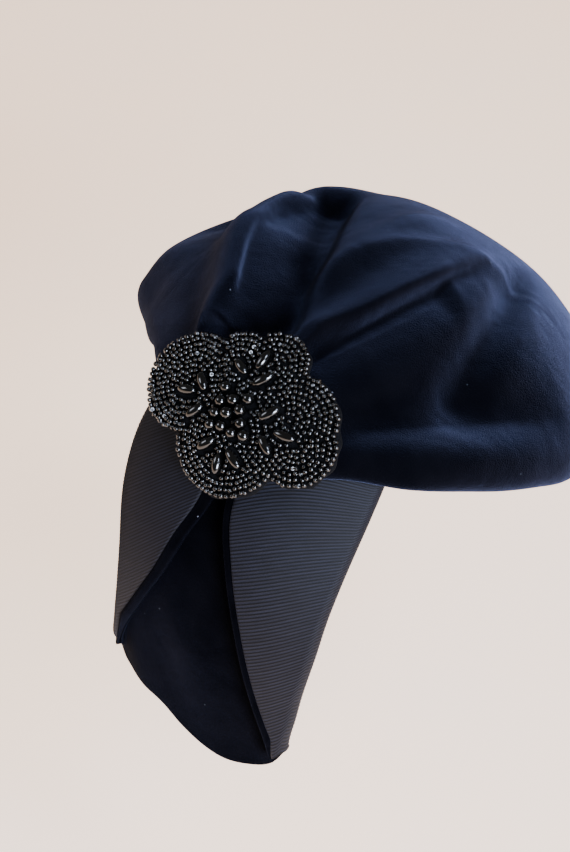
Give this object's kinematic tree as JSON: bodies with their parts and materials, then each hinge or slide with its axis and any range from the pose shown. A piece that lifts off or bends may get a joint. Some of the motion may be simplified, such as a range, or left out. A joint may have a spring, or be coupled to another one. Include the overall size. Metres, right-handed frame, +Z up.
{
  "type": "draped velvet fascinator hat",
  "caption": "Small draped velvet hat with pleats gathered under a beaded flower at the back and a folded velvet tail that shows ribbed facings.",
  "frame": {"origin": "the top of the head hollow, where the crown sits", "axes": "+Z up along the wearer, +Y towards the wearer's front, +X towards the wearer's right"},
  "size_m": [0.1626, 0.1984, 0.1458],
  "materials": {
    "velvet": "navy cut-pile velvet with a blue sheen at grazing angles",
    "ribbed_facing": "charcoal ribbed silk, faint sheen",
    "bead_backing": "black net covered with rows of black seed beads",
    "black_glass": "opaque black glass, polished"
  },
  "bodies": {
    "root": {"crown": "velvet", "tail": "velvet", "facing_left": "ribbed_facing", "facing_right": "ribbed_facing", "medallion": "bead_backing", "pearl_01": "black_glass", "pearl_02": "black_glass", "pearl_03": "black_glass", "pearl_04": "black_glass", "pearl_05": "black_glass", "pearl_06": "black_glass", "pearl_07": "black_glass", "pearl_08": "black_glass", "pearl_09": "black_glass", "pearl_10": "black_glass", "pearl_11": "black_glass", "pearl_12": "black_glass", "oval_01": "black_glass", "oval_02": "black_glass", "oval_03": "black_glass", "oval_04": "black_glass", "oval_05": "black_glass", "oval_06": "black_glass", "oval_07": "black_glass", "oval_08": "black_glass", "oval_09": "black_glass", "oval_10": "black_glass", "oval_11": "black_glass", "oval_12": "black_glass"}
  },
  "joints": []
}
